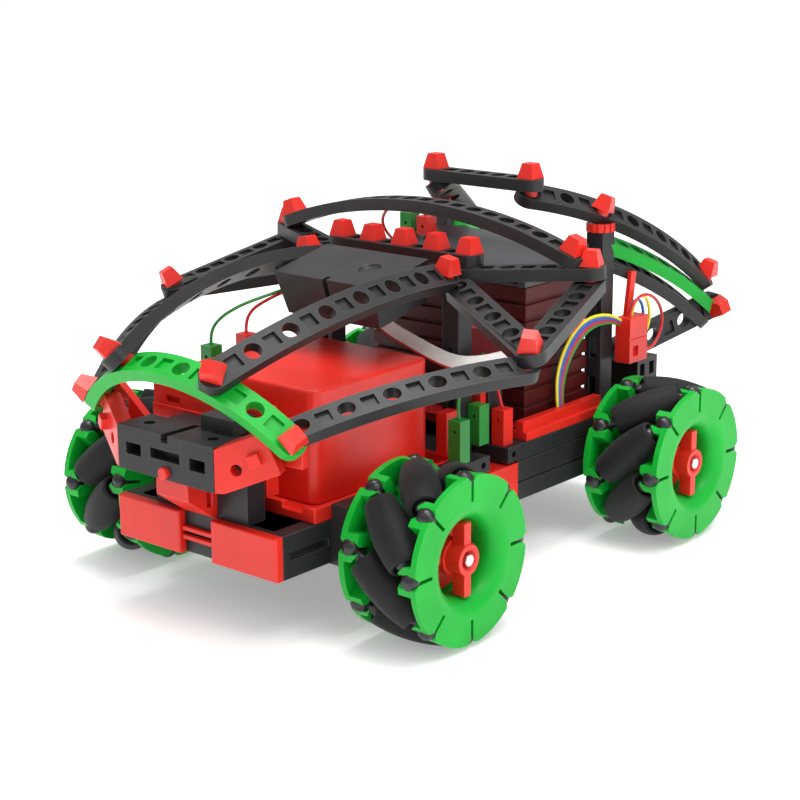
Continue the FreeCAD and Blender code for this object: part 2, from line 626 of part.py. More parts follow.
def strut(start, end, outward, pitches, radius=None):
    """A perforated strut between two hole centres on its outer face.

    A bent one is a piece of a ring: every section points at the ring's axis. It has a hole at
    each pitch and a shallow recess between two holes.
    """
    start, end = Vector(*start), Vector(*end)
    along = unit(end - start)
    normal = Vector(*outward)
    normal = unit(normal - along * normal.dot(along))
    across = normal.cross(along)
    middle = (start + end) * 0.5
    chord = (end - start).Length
    if radius is None:
        placed = FreeCAD.Placement(middle, Rotation(along, across, normal, "XYZ"))
        core_box = Part.makeBox(chord, STRUT_W, STRUT_T, Vector(-chord / 2, -STRUT_W / 2, -STRUT_T))
        stations = [FreeCAD.Placement(Vector(chord * (k / pitches - 0.5), 0, 0), Rotation())
                    for k in range(2 * pitches + 1) for k in [k / 2]]
        body = core_box
        for station in (stations[0], stations[-1]):
            body = body.fuse(Part.makeCylinder(STRUT_W / 2, STRUT_T, station.Base - Vector(0, 0, STRUT_T)))
    else:
        half_angle = math.asin(chord / 2 / radius)
        drop = radius * math.cos(half_angle)
        placed = FreeCAD.Placement(middle - normal * drop, Rotation(along, across, normal, "XYZ"))
        y_axis = Vector(0, 1, 0)
        stations = []
        for step in range(2 * pitches + 1):
            angle = half_angle * (step / pitches - 1)
            turn = Rotation(y_axis, math.degrees(angle))
            stations.append(FreeCAD.Placement(turn.multVec(Vector(0, 0, radius)), turn))
        overhang = half_angle + STRUT_W / radius
        base = Vector(0, -STRUT_W / 2, 0)
        ring = Part.makeCylinder(radius, STRUT_W, base, y_axis)
        ring = ring.cut(Part.makeCylinder(radius - STRUT_T, STRUT_W, base, y_axis))
        span = 2 * radius
        mask = Part.makeBox(2 * radius * math.sin(overhang), span, span,
                            Vector(-radius * math.sin(overhang), -span / 2, 0.2))
        ring = ring.common(mask)
        for sign in (-1, 1):
            turn = Rotation(y_axis, math.degrees(sign * half_angle))
            half_space = Part.makeBox(span, span, 2 * span, Vector(0, -span / 2, -span))
            if sign < 0:
                half_space = Part.makeBox(span, span, 2 * span, Vector(-span, -span / 2, -span))
            half_space.Placement = FreeCAD.Placement(Vector(0, 0, 0), turn)
            cap = Part.makeCylinder(STRUT_W / 2, 4 * STRUT_T, Vector(0, 0, radius - 3 * STRUT_T))
            cap.Placement = FreeCAD.Placement(Vector(0, 0, 0), turn)
            ring = ring.cut(half_space.cut(cap))
        body = ring.removeSplitter()
    tools = []
    for step, station in enumerate(stations):
        if step % 2 == 0:
            hole = Part.makeCylinder(size("hole_radius"), 4 * STRUT_T, Vector(0, 0, -3 * STRUT_T))
        else:
            hole = Part.makeBox(5.0, 5.2, 3 * STRUT_T, Vector(-2.5, -2.6, -1.2))
        hole.Placement = station
        tools.append(hole)
    body = body.cut(Part.makeCompound(tools))
    body.Placement = placed
    return body


def flip(point):
    return (-point[0], point[1], point[2])


def strut_pair(start, end, outward, pitches, radius=None):
    return [strut(start, end, outward, pitches, radius),
            strut(flip(start), flip(end), flip(outward), pitches, radius)]


# Hole centres on the outer faces of the left-hand struts.
ARCH_END = (46.4, -110.4, 73.0)
ARCH_RIVET = (22.2, -117.3, 89.0)
WING = (84.0, -41.0, 89.5)
ROOF_SIDE = (32.8, -17.7, 109.3)
SHOULDER = (71.5, 13.0, 111.8)
CROWN = (66.0, 10.0, 116.4)
MAST = (22.5, 43.5, 129.2)
TAIL = (54.0, 117.5, 90.5)

green = [strut((-46.4, -110.4, 73.0), ARCH_END, (0, -0.45, 0.89), 7, 61.0)]
green += strut_pair((POST_X, 72.5, 109.0), (54.5, 119.0, 81.5), (0.5, 0.35, 0.8), 4, 150.0)
roof = [strut((-30, -2, 113.6), (30, -2, 113.6), (0, 0, 1), 4),
        strut(flip(CROWN), CROWN, (0, 0, 1), 9, 190.0)]
roof += strut_pair((24.0, -121.2, 92.6), ROOF_SIDE, (0.57, -0.2, 0.79), 7, 173.0)
roof += strut_pair((30.5, -4.4, 109.0), SHOULDER, (0, 0, 1), 3)
sides = strut_pair((46.4, -106.5, 77.0), WING, (0.26, -0.36, 0.9), 5, 240.0)
sides += strut_pair((83.6, -38.6, 94.0), (34.0, -13.0, 104.4), (0.1, -0.37, 0.92), 4)
sides += strut_pair((84.2, -38.0, 94.4), (72.0, 12.0, 107.2), (0.1, -0.37, 0.92), 4)
rear = [strut((-22.5, 43.5, 134.0), (22.5, 43.5, 134.0), (0, 0, 1), 3)]
rear += strut_pair(MAST, TAIL, (0.62, 0, 0.78), 6, 140.0)
rear += strut_pair((POST_X, 72.5, 102.5), (52.5, 116.5, 75.0), (0.5, 0.35, 0.8), 4, 150.0)
rear += strut_pair((56.0, 120.5, 77.5), (40.5, 80.0, 64.5), (0.94, -0.34, 0), 3)


def placed_clear(pieces, placed):
    """Cut each piece clear of everything placed before it, so that nothing overlaps."""
    kept = []
    for piece in pieces:
        for other in placed:
            if piece.BoundBox.intersect(other.BoundBox) and piece.common(other).Volume > 1e-6:
                piece = piece.cut(other)
        kept.append(max(piece.Solids, key=lambda solid: solid.Volume))
        placed.append(kept[-1])
    return kept


doc.recompute()
placed = []
for name in ("bumper_brackets", "support_pillars", "red_fittings", "sensor_housing"):
    placed += parts[name].Shape.translated(-ROOT_SHIFT).Solids
green, roof, sides, rear = [placed_clear(group, placed) for group in (green, roof, sides, rear)]
node_of_shapes("green_struts", green)
node_of_shapes("roof_struts", roof)
node_of_shapes("side_struts", sides)
node_of_shapes("rear_struts", rear)


# ---------------------------------------------------------------- red rivets
def rivet(seat, outward, spin=0.0, pin_length=8.0):
    """A snap rivet: a tapered square head on a round pin."""
    wide = size("head_width")
    head = Part.makeWedge(-wide / 2, 0, -wide / 2, -wide / 2 + 1.3, -wide / 2 + 1.3,
                          wide / 2, size("head_high"), wide / 2, wide / 2 - 1.3, wide / 2 - 1.3)
    head.Placement = FreeCAD.Placement(Vector(0, 0, 0), Rotation(Vector(1, 0, 0), 90))
    body = head.fuse(Part.makeCylinder(size("pin_radius"), pin_length + 1, Vector(0, 0, -pin_length)))
    turn = Rotation(Vector(0, 0, 1), unit(Vector(*outward)))
    body.Placement = FreeCAD.Placement(Vector(*seat), turn * Rotation(Vector(0, 0, 1), spin))
    return body


def rivet_pair(seat, outward, spin=0.0, pin_length=8.0):
    return [rivet(seat, outward, spin, pin_length), rivet(flip(seat), flip(outward), -spin, pin_length)]


rivets = [rivet((x, -2, 113.7), (0, 0, 1), 0, 4.0) for x in (-30, -15, 0, 15, 30)]
rivets += rivet_pair((23.7, -121.0, 92.8), (0.3, -0.75, 0.6), 20, 7.0)
rivets += rivet_pair((47.5, -111.2, 73.6), (0.72, -0.45, 0.5), 0, 6.0)
rivets += rivet_pair((83.9, -38.6, 94.8), (0.25, -0.4, 0.88), 25, 8.0)
rivets += rivet_pair((32.6, -17.7, 109.5), (0.2, 0, 0.97), 0, 4.0)
rivets += rivet_pair((71.5, 13.0, 112.0), (0, 0, 1), 20, 8.0)
rivets += rivet_pair((65.8, 10.0, 116.6), (0.33, 0, 0.94), 0, 4.0)
rivets += rivet_pair((22.5, 43.5, 134.1), (0, 0, 1), 0, 9.0)
rivets += rivet_pair((38.4, 67.6, 120.9), (0.25, 0.25, 0.94), 15, 4.5)
rivets += rivet_pair((54.0, 117.5, 90.8), (0.3, 0.1, 0.95), 10, 6.0)
rivets += rivet_pair((57.5, 120.0, 77.5), (0.94, -0.34, 0.1), 0, 6.0)


node_of_shapes("rivets", placed_clear(rivets, placed))

# ---------------------------------------------------------------- plugs and red fittings
PLUG = 5.4


def plug(label, x, y, low, high):
    blank = span_box(label + "_blank", (x - PLUG / 2, y - PLUG / 2, low), (x + PLUG / 2, y + PLUG / 2, high))
    return cut(label, blank, [cylinder(label + "_test_hole", 0.7, 3, (x, y - PLUG / 2 - 1, high - 4),
                                       Rotation(Vector(1, 0, 0), -90))])


PLUGS = {"plug_front_green": (-37.8, -63.5, MOTOR_TOP + GAP, 82.0),
         "plug_front_red": (-37.8, -46.0, MOTOR_TOP + GAP, 83.0),
         "plug_side_green": (41.8, -22.5, MOTOR_TOP + GAP, 59.6),
         "plug_side_green_back": (37.0, -5.6, MOTOR_TOP + 2.2, 60.8),
         "plug_side_red": (39.8, 4.8, MOTOR_TOP + GAP, 57.5),
         "plug_top_green": (-33.0, 40.0, 108.6, 116.4),
         "plug_top_red": (-24.5, 40.0, 108.6, 115.7)}
node("connector_plugs", [plug(name, *values) for name, values in PLUGS.items()])

# ---------------------------------------------------------------- wiring
def tube_path(route):
    """Straight runs joined by tangent arcs as large as the runs allow."""
    points = [Vector(*point) for point in route]
    edges, start = [], points[0]
    for before, corner_point, after in zip(points, points[1:], points[2:]):
        into, away = corner_point - before, after - corner_point
        turn = into.getAngle(away)
        setback = 0.45 * min(into.Length, away.Length)
        radius = setback / math.tan(turn / 2)
        first = corner_point - unit(into) * setback
        last = corner_point + unit(away) * setback
        inwards = unit(unit(away) - unit(into))
        centre = corner_point + inwards * math.hypot(radius, setback)
        middle = centre - inwards * radius
        edges.append(Part.LineSegment(start, first).toShape())
        edges.append(Part.Arc(first, middle, last).toShape())
        start = last
    edges.append(Part.LineSegment(start, points[-1]).toShape())
    return Part.Wire(edges)


def tube(route, radius):
    path = tube_path(route)
    section = Part.Wire([Part.Circle(Vector(*route[0]), path.Edges[0].tangentAt(0), radius).toShape()])
    bends = [edge.Curve.Radius for edge in path.Edges if edge.Curve.TypeId == "Part::GeomCircle"]
    return path.makePipeShell([section], True, False), path.Length, min(bends)


ROUTES = {
    "green_front": [(-37.8, -63.5, 82.0), (-38.4, -63.2, 86.5), (-36.5, -60.0, 91.5),
                    (-32.5, -53.0, 95.5), (-27.5, -44.5, 98.2), (-23.9, -38.0, 100.2)],
    "red_front": [(-37.8, -46.0, 83.0), (-38.3, -45.6, 87.3), (-36.6, -43.6, 91.8),
                  (-32.2, -40.3, 95.2), (-27.4, -37.2, 98.0), (-23.9, -35.0, 100.0)],
    "green_side": [(41.8, -22.5, 59.7), (41.2, -22.9, 66.0), (39.9, -17.0, 72.5), (39.0, -8.0, 71.6),
                   (37.0, 2.0, 70.6), (30.0, 10.5, 71.8), (23.0, 14.8, 73.0)],
    "red_side": [(39.8, 4.8, 57.6), (39.4, 3.4, 62.0), (37.6, 4.2, 66.6), (33.6, 8.6, 69.4),
                 (29.0, 14.8, 70.4)],
    "red_top": [(-24.5, 40.0, 115.7), (-26.6, 39.4, 118.4), (-31.6, 38.4, 119.7), (-38.3, 37.8, 118.9),
                (-44.4, 38.3, 115.8), (-47.6, 40.0, 110.4), (-46.0, 43.0, 104.6),
                (-42.0, 45.6, 101.4), (-37.4, 46.8, 100.6)],
    "ribbon": [(37.4, 53.0, 103.5), (41.5, 52.5, 104.0), (45.0, 50.5, 100.5), (46.5, 48.0, 93.5),
               (46.2, 43.5, 86.5), (45.6, 36.0, 81.5), (45.2, 26.0, 79.0), (44.6, 15.0, 78.0),
               (43.0, 4.0, 77.0), (39.5, -7.0, 76.3), (34.8, -15.2, 77.0), (26.5, -17.4, 79.5),
               (17.0, -17.6, 82.5), (8.0, -19.0, 86.0), (3.4, -21.5, 90.6), (2.6, -22.0, 95.6)],
    "loop_red": [(48.0, 73.0, 80.0), (48.2, 74.0, 84.4), (48.5, 79.2, 87.6), (48.7, 86.0, 86.9),
                 (48.9, 92.4, 82.2), (49.0, 94.8, 75.4), (48.8, 92.2, 68.8), (48.4, 86.8, 64.8),
                 (48.0, 82.1, 66.2)],
    "loop_yellow": [(47.0, 76.0, 80.0), (47.1, 76.8, 84.0), (47.3, 80.4, 87.0), (47.5, 84.8, 86.0),
                    (47.6, 87.2, 81.4), (47.6, 87.4, 76.2), (47.3, 85.2, 71.6), (47.0, 82.1, 69.4)],
    "loop_blue": [(45.8, 76.4, 80.0), (45.8, 77.0, 83.0), (45.9, 79.6, 85.4), (46.0, 83.0, 84.8),
                  (46.1, 85.0, 81.4), (46.1, 85.4, 77.2), (46.0, 84.4, 73.4), (45.8, 82.1, 71.2)],
}
# The bundle's wires lie side by side: each is the first one moved inwards.
BUNDLE = [(46.0, 69.9, 79.0), (45.4, 66.2, 81.4), (43.6, 60.4, 82.6), (42.0, 54.4, 82.0),
          (41.3, 48.8, 79.6), (41.0, 44.0, 75.8), (40.8, 40.0, 70.8), (40.6, 37.4, 64.8),
          (40.5, 36.6, 58.4), (40.6, 37.4, 51.1)]
for name, inwards in {"yellow": 0.0, "blue": 1.3, "purple": 2.6, "red": 3.9, "green": 5.2}.items():
    ROUTES["bundle_" + name] = [(x, y + 0.71 * inwards, z - 0.71 * inwards) for x, y, z in BUNDLE]
tubes = []
for name, route in ROUTES.items():
    radius = size("wire_radius")
    solid, length, tightest = tube(route, radius)
    expected = math.pi * radius ** 2 * length
    print(f"{name}: {length:.1f} mm long, tightest bend radius {tightest:.1f}, "
          f"volume {solid.Volume:.2f} of {expected:.2f}")
    tubes.append(solid)
node_of_shapes("wiring", tubes)

# ---------------------------------------------------------------- checks and export
doc.recompute()
for item in doc.Objects:
    if "Invalid" in item.State or "Error" in item.State:
        raise RuntimeError(f"{item.Name} failed to recompute")
total = FreeCAD.BoundBox()
for name, item in parts.items():
    if item.Shape.isNull() or not item.Shape.isValid():
        raise RuntimeError(f"{name} has no valid shape")
    if not item.Shape.Solids:
        raise RuntimeError(f"{name} has no solid")
    total.add(item.Shape.BoundBox)
print(f"{len(parts)} nodes, box {total}")

os.makedirs("parts", exist_ok=True)
for name, item in parts.items():
    item.Shape.exportStep(os.path.join("parts", name + ".step"))
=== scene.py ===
import json
import math

import bmesh
import bpy
from mathutils import Matrix, Vector


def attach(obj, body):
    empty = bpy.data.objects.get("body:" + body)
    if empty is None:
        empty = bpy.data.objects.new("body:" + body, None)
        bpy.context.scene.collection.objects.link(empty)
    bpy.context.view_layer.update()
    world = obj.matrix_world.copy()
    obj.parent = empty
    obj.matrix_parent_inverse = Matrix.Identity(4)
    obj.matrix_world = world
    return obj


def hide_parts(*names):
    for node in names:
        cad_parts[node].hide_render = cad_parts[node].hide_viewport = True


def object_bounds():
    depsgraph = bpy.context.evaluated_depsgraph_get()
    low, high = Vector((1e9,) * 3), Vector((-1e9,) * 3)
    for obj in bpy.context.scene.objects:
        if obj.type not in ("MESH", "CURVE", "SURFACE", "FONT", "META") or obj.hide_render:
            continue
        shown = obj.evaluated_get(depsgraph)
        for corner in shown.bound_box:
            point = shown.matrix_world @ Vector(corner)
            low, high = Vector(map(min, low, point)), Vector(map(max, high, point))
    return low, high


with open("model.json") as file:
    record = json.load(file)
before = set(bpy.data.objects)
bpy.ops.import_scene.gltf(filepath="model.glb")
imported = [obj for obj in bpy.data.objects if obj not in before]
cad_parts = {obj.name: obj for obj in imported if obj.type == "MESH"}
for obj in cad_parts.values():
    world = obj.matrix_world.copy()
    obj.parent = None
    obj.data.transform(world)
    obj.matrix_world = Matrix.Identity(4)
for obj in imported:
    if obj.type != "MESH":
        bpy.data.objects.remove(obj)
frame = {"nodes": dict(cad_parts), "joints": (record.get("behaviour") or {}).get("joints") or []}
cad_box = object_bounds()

# A mecanum wheel robot built from kit parts. Metres, +Z up, -Y is the front, +X is its left side.
MM = 0.001
SHIFT_Y = 0.27 * MM              # the model's centre, against the middle of the wheelbase
JOINTS = {joint["name"]: joint for joint in frame["joints"]}


def mm(x, y, z):
    """A point of the robot, from millimetres measured from the middle of the wheelbase."""
    return Vector((x * MM, y * MM + SHIFT_Y, z * MM))


# ---------------------------------------------------------------- materials
def node_of(tree, kind, **values):
    """A new shader node, with its settings and the defaults of its inputs."""
    item = tree.nodes.new("ShaderNode" + kind)
    for name, value in values.items():
        if hasattr(item, name):
            setattr(item, name, value)
        else:
            item.inputs[name.replace("_", " ")].default_value = value
    return item


def ramp(tree, source, low, high, from_value, to_value):
    """Map a 0..1 stretch of a value to another range, clamped."""
    item = node_of(tree, "MapRange", From_Min=low, From_Max=high, To_Min=from_value, To_Max=to_value)
    tree.links.new(source, item.inputs["Value"])
    return item.outputs["Result"]


# The colour sockets of a Mix node, which also has sockets of the same names for other kinds of data.
MIX_FIRST, MIX_SECOND, MIX_RESULT = 6, 7, 2


def mixed(tree, factor, first, second):
    """Mix two colours, each a tuple or a socket."""
    item = tree.nodes.new("ShaderNodeMix")
    item.data_type = "RGBA"
    tree.links.new(factor, item.inputs["Factor"])
    for socket, value in ((item.inputs[MIX_FIRST], first), (item.inputs[MIX_SECOND], second)):
        if isinstance(value, tuple):
            socket.default_value = (*value, 1.0)
        else:
            tree.links.new(value, socket)
    return item.outputs[MIX_RESULT]


def shade(colour, factor):
    """A colour made lighter or darker."""
    return tuple(min(1.0, channel * factor) for channel in colour)


CLOUD_SCALE = 45.0                # texture cycles per metre
GRAIN_SCALE = 2600.0
STREAK_SCALE = 420.0
DUST = 0.10                       # the most that dust lightens a surface


def moulded(name, colour, rough=0.38, grain=0.12, edge=1.5, edge_width=0.35, metal=0.0, sheen=0.0,
            specular=0.5, cloud=0.12, scratch=0.0):
    """A moulded plastic (or metal) finish.

    It has slow colour clouds, fine spark-eroded grain in its bump and roughness, and edges painted
    lighter by the factor edge: a painted highlight where the edges would catch the light.
    """
    material = bpy.data.materials.new(name)
    material.use_nodes = True
    tree = material.node_tree
    shader = tree.nodes["Principled BSDF"]
    place = tree.nodes.new("ShaderNodeTexCoord").outputs["Object"]

    slow = node_of(tree, "TexNoise", Scale=CLOUD_SCALE, Detail=3.0, Roughness=0.6)
    fine = node_of(tree, "TexNoise", Scale=GRAIN_SCALE, Detail=4.0, Roughness=0.7)
    streak = node_of(tree, "TexNoise", Scale=STREAK_SCALE, Detail=5.0, Roughness=0.75, Distortion=1.2)
    for texture in (slow, fine, streak):
        tree.links.new(place, texture.inputs["Vector"])

    clouds = ramp(tree, slow.outputs["Fac"], 0.3, 0.7, 0.0, 1.0)
    base = mixed(tree, clouds, shade(colour, 1.0 - cloud), shade(colour, 1.0 + cloud))
    dust = ramp(tree, streak.outputs["Fac"], 0.56, 0.74, 0.0, DUST + scratch)
    dusty = tuple(0.6 * channel + 0.08 for channel in colour)
    base = mixed(tree, dust, base, dusty)

    # Painted highlight on the edges: colour lightened where the rounded normal leaves the true one.
    rounded = tree.nodes.new("ShaderNodeBevel")
    rounded.samples = 4
    rounded.inputs["Radius"].default_value = edge_width * MM
    true_normal = tree.nodes.new("ShaderNodeNewGeometry").outputs["True Normal"]
    dot = tree.nodes.new("ShaderNodeVectorMath")
    dot.operation = "DOT_PRODUCT"
    tree.links.new(rounded.outputs["Normal"], dot.inputs[0])
    tree.links.new(true_normal, dot.inputs[1])
    # The edge mask and the lit colour of the painted edge highlight.
    edge_highlight = ramp(tree, dot.outputs["Value"], 0.995, 0.82, 0.0, 0.8)
    lit = tuple(min(1.0, (channel + 0.012) * edge) for channel in colour)
    tree.links.new(mixed(tree, edge_highlight, base, lit), shader.inputs["Base Color"])

    gloss = ramp(tree, streak.outputs["Fac"], 0.3, 0.75, rough - 0.07, rough + 0.09)
    tree.links.new(gloss, shader.inputs["Roughness"])
    bump = node_of(tree, "Bump", Strength=grain, Distance=0.06 * MM)
    tree.links.new(fine.outputs["Fac"], bump.inputs["Height"])
    tree.links.new(bump.outputs["Normal"], shader.inputs["Normal"])
    shader.inputs["Metallic"].default_value = metal
    shader.inputs["Specular IOR Level"].default_value = specular
    shader.inputs["Sheen Weight"].default_value = sheen
    return material


RED = moulded("red plastic", (0.74, 0.022, 0.012), rough=0.34, grain=0.10, edge=1.3, specular=0.4)
RED_DEEP = moulded("deep red plastic", (0.46, 0.013, 0.010), rough=0.38, grain=0.12, edge=1.5)
RED_PINK = moulded("pale red panel", (0.46, 0.06, 0.07), rough=0.42, grain=0.10, edge=1.4)
CASE_RED = moulded("ribbed dark red", (0.075, 0.005, 0.005), rough=0.45, grain=0.14, edge=2.0, specular=0.3)
BLACK = moulded("anthracite plastic", (0.021, 0.020, 0.022), rough=0.42, grain=0.20, edge=3.2,
                edge_width=0.4, cloud=0.2, scratch=0.04, specular=0.32)
BLACK_STRUT = moulded("strut plastic", (0.021, 0.020, 0.021), rough=0.40, grain=0.22, edge=3.0,
                      edge_width=0.4, cloud=0.2, scratch=0.05, specular=0.34)
GREEN = moulded("green plastic", (0.004, 0.40, 0.032), rough=0.38, grain=0.10, edge=1.3, specular=0.25)
PLUG_GREEN = moulded("plug green", (0.012, 0.24, 0.028), rough=0.36, grain=0.10, edge=1.6)
GREY = moulded("grey cover", (0.045, 0.043, 0.047), rough=0.36, grain=0.10, edge=1.6, specular=0.4)
RUBBER = moulded("roller rubber", (0.010, 0.010, 0.011), rough=0.62, grain=0.45, edge=1.8,
                 edge_width=0.5, sheen=0.08, specular=0.22, cloud=0.22, scratch=0.06)
CORE = moulded("roller core", (0.016, 0.016, 0.018), rough=0.30, grain=0.08, edge=2.0)
STEEL = moulded("steel", (0.62, 0.62, 0.64), rough=0.24, grain=0.06, edge=1.1, metal=1.0)
WIRE = {name: moulded("wire " + name, colour, rough=0.34, grain=0.05, edge=1.1, edge_width=0.1)
        for name, colour in {
            "red": (0.62, 0.020, 0.015), "green": (0.02, 0.26, 0.04), "white": (0.80, 0.77, 0.74),
            "yellow": (0.85, 0.72, 0.02), "blue": (0.03, 0.16, 0.50), "purple": (0.14, 0.07, 0.36)}.items()}


# ---------------------------------------------------------------- mesh helpers
SAME_POINT = 2e-6                 # metres
FLAT_ANGLE = math.radians(0.8)
SHARP_ANGLE = math.radians(32.0)


def new_piece(name, mesh, body, materials):
    """An object that shows a mesh and rides on a body."""
    for material in materials:
        mesh.materials.append(material)
    piece = bpy.data.objects.new(name, mesh)
    bpy.context.scene.collection.objects.link(piece)
    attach(piece, body)
    return piece


def rounded_edges(piece, width, segments):
    """Round the sharp edges of a piece; the width is in millimetres."""
    bevel = piece.modifiers.new("rounded edges", "BEVEL")
    bevel.width = width * MM
    bevel.segments = segments
    bevel.limit_method = "ANGLE"
    bevel.angle_limit = SHARP_ANGLE
    bevel.miter_outer = "MITER_ARC"
    bevel.harden_normals = False
    weighted = piece.modifiers.new("even shading", "WEIGHTED_NORMAL")
    weighted.keep_sharp = True


def islands(bm):
    """The separate solids of a mesh, as lists of faces."""
    left = set(bm.faces)
    groups = []
    while left:
        stack = [left.pop()]
        group = list(stack)
        while stack:
            for edge in stack.pop().edges:
                for face in edge.link_faces:
                    if face in left:
                        left.remove(face)
                        group.append(face)
                        stack.append(face)
        groups.append(group)
    return groups


def centre_of(faces):
    """The middle and the size of some faces' box."""
    corners = {vert for face in faces for vert in face.verts}
    low = Vector([min(vert.co[axis] for vert in corners) for axis in range(3)])
    high = Vector([max(vert.co[axis] for vert in corners) for axis in range(3)])
    return (low + high) / 2, high - low


def refined(node, body, materials, rule=None, width=0.28, segments=2, join_flats=True):
    """A detailed copy of a CAD node: flat faces joined, edges rounded, a material for each solid."""
    source = frame["nodes"][node].data
    bm = bmesh.new()
    verts = [bm.verts.new(vert.co) for vert in source.vertices]
    for polygon in source.polygons:
        try:
            bm.faces.new([verts[index] for index in polygon.vertices])
        except ValueError:
            continue
    bmesh.ops.remove_doubles(bm, verts=bm.verts, dist=SAME_POINT)
    bmesh.ops.dissolve_degenerate(bm, edges=bm.edges, dist=SAME_POINT)
    if join_flats:
        bmesh.ops.dissolve_limit(bm, verts=bm.verts, edges=bm.edges, angle_limit=FLAT_ANGLE)
    if rule:
        for group in islands(bm):
            index = rule(*centre_of(group))
            for face in group:
                face.material_index = index
    for face in bm.faces:
        face.smooth = True
    for edge in bm.edges:
        if len(edge.link_faces) == 2 and edge.calc_face_angle(0.0) > SHARP_ANGLE:
            edge.smooth = False
    mesh = bpy.data.meshes.new(node + "_detail")
    bm.to_mesh(mesh)
    bm.free()
    piece = new_piece(node + "_detail", mesh, body, materials)
    rounded_edges(piece, width, segments)
    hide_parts(node)
    return piece


def lathe(bm, profile, matrix, material_index, steps=48):
    """Turn a profile of (radius, height) pairs about Z, and place it."""
    rings = []
    for radius, height in profile:
        if radius < 1e-7:
            rings.append([bm.verts.new(matrix @ Vector((0, 0, height)))])
            continue
        rings.append([bm.verts.new(matrix @ Vector((radius * math.cos(2 * math.pi * k / steps),
                                                    radius * math.sin(2 * math.pi * k / steps), height)))
                      for k in range(steps)])
    for low, high in zip(rings, rings[1:]):
        for k in range(steps):
            n = (k + 1) % steps
            if len(low) == 1:
                corners = [low[0], high[n], high[k]]
            elif len(high) == 1:
                corners = [low[k], low[n], high[0]]
            else:
                corners = [low[k], low[n], high[n], high[k]]
            face = bm.faces.new(corners)
            face.smooth = True
            face.material_index = material_index


# ---------------------------------------------------------------- rollers
ROLLER_CIRCLE = 23.2
WHEEL_RADIUS = 30.0
SLEEVE_HALF = 12.5
CUP_DEPTH = 2.0
CUP_RADIUS = 3.9
PIN_RADIUS = 2.6
NECK_RADIUS = 1.95
BALL_RADIUS = 3.2
BALL_OFFSET = 17.8


def sleeve_radius(height):
    """The barrel keeps its outer side on the wheel's rolling circle."""
    return WHEEL_RADIUS - math.hypot(ROLLER_CIRCLE, height * math.sin(math.pi / 4))


def sleeve_profile():
    lip = 0.35
    points = [(PIN_RADIUS, CUP_DEPTH - SLEEVE_HALF), (CUP_RADIUS - 0.2, CUP_DEPTH - SLEEVE_HALF),
              (CUP_RADIUS, CUP_DEPTH - SLEEVE_HALF - 0.2), (CUP_RADIUS, lip - SLEEVE_HALF),
              (CUP_RADIUS + 0.1, 0.1 - SLEEVE_HALF), (CUP_RADIUS + lip, -SLEEVE_HALF)]
    end = sleeve_radius(SLEEVE_HALF)
    points += [(end - lip, -SLEEVE_HALF), (end - 0.1, 0.1 - SLEEVE_HALF)]
    steps = 22
    barrel = [(-SLEEVE_HALF + lip) + 2 * (SLEEVE_HALF - lip) * k / steps for k in range(steps + 1)]
    points += [(sleeve_radius(height) - 0.02, height) for height in barrel]
    mirrored = [(radius, -height) for radius, height in reversed(points[:8])]
    return [(radius * MM, height * MM) for radius, height in points + mirrored]


def core_profile():
    points = [(0, -BALL_OFFSET - BALL_RADIUS)]
    neck_angle = math.asin(NECK_RADIUS / BALL_RADIUS)
    for k in range(1, 15):
        angle = (math.pi - neck_angle) * k / 14
        points.append((BALL_RADIUS * math.sin(angle), -BALL_OFFSET - BALL_RADIUS * math.cos(angle)))
    points += [(NECK_RADIUS, -SLEEVE_HALF - 0.9), (NECK_RADIUS + 0.2, -SLEEVE_HALF - 0.3),
               (PIN_RADIUS, -SLEEVE_HALF), (CUP_RADIUS - 0.25, CUP_DEPTH - SLEEVE_HALF - 0.05)]
    points += [(PIN_RADIUS - 0.05, CUP_DEPTH - SLEEVE_HALF + 0.1)]
    points += [(radius, -height) for radius, height in reversed(points)]
    return [(radius * MM, height * MM) for radius, height in points]


def roller_mesh():
    bm = bmesh.new()
    lathe(bm, sleeve_profile(), Matrix.Identity(4), 0)
    lathe(bm, core_profile(), Matrix.Identity(4), 1, 32)
    bmesh.ops.recalc_face_normals(bm, faces=bm.faces)
    mesh = bpy.data.meshes.new("roller")
    bm.to_mesh(mesh)
    bm.free()
    mesh.materials.append(RUBBER)
    mesh.materials.append(CORE)
    return mesh


roller = roller_mesh()
for corner in ("fl", "fr", "rl", "rr"):
    for index in range(1, 9):
        node = f"roller_{corner}_{index}"
        joint = JOINTS[node + "_spin"]
        piece = bpy.data.objects.new(node + "_detail", roller)
        bpy.context.scene.collection.objects.link(piece)
        turn = Vector((0, 0, 1)).rotation_difference(Vector(joint["axis"])).to_matrix().to_4x4()
        piece.matrix_world = Matrix.Translation(Vector(joint["pos_m"])) @ turn
        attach(piece, node)
        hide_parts(node)

# ---------------------------------------------------------------- wheels
AXLE_AT_LEAST = 40 * MM


def hub_colour(centre, extent):
    """1 for the steel axle, which is the long piece along X, and 0 for the red ones."""
    return int(extent.x > AXLE_AT_LEAST)


for corner in ("fl", "fr", "rl", "rr"):
    rim = refined(f"wheel_rim_{corner}", f"wheel_{corner}", [GREEN], width=0.30, join_flats=False)
    hub = refined(f"wheel_hub_{corner}", f"wheel_{corner}", [RED, STEEL],
                  rule=hub_colour, width=0.4, segments=3)

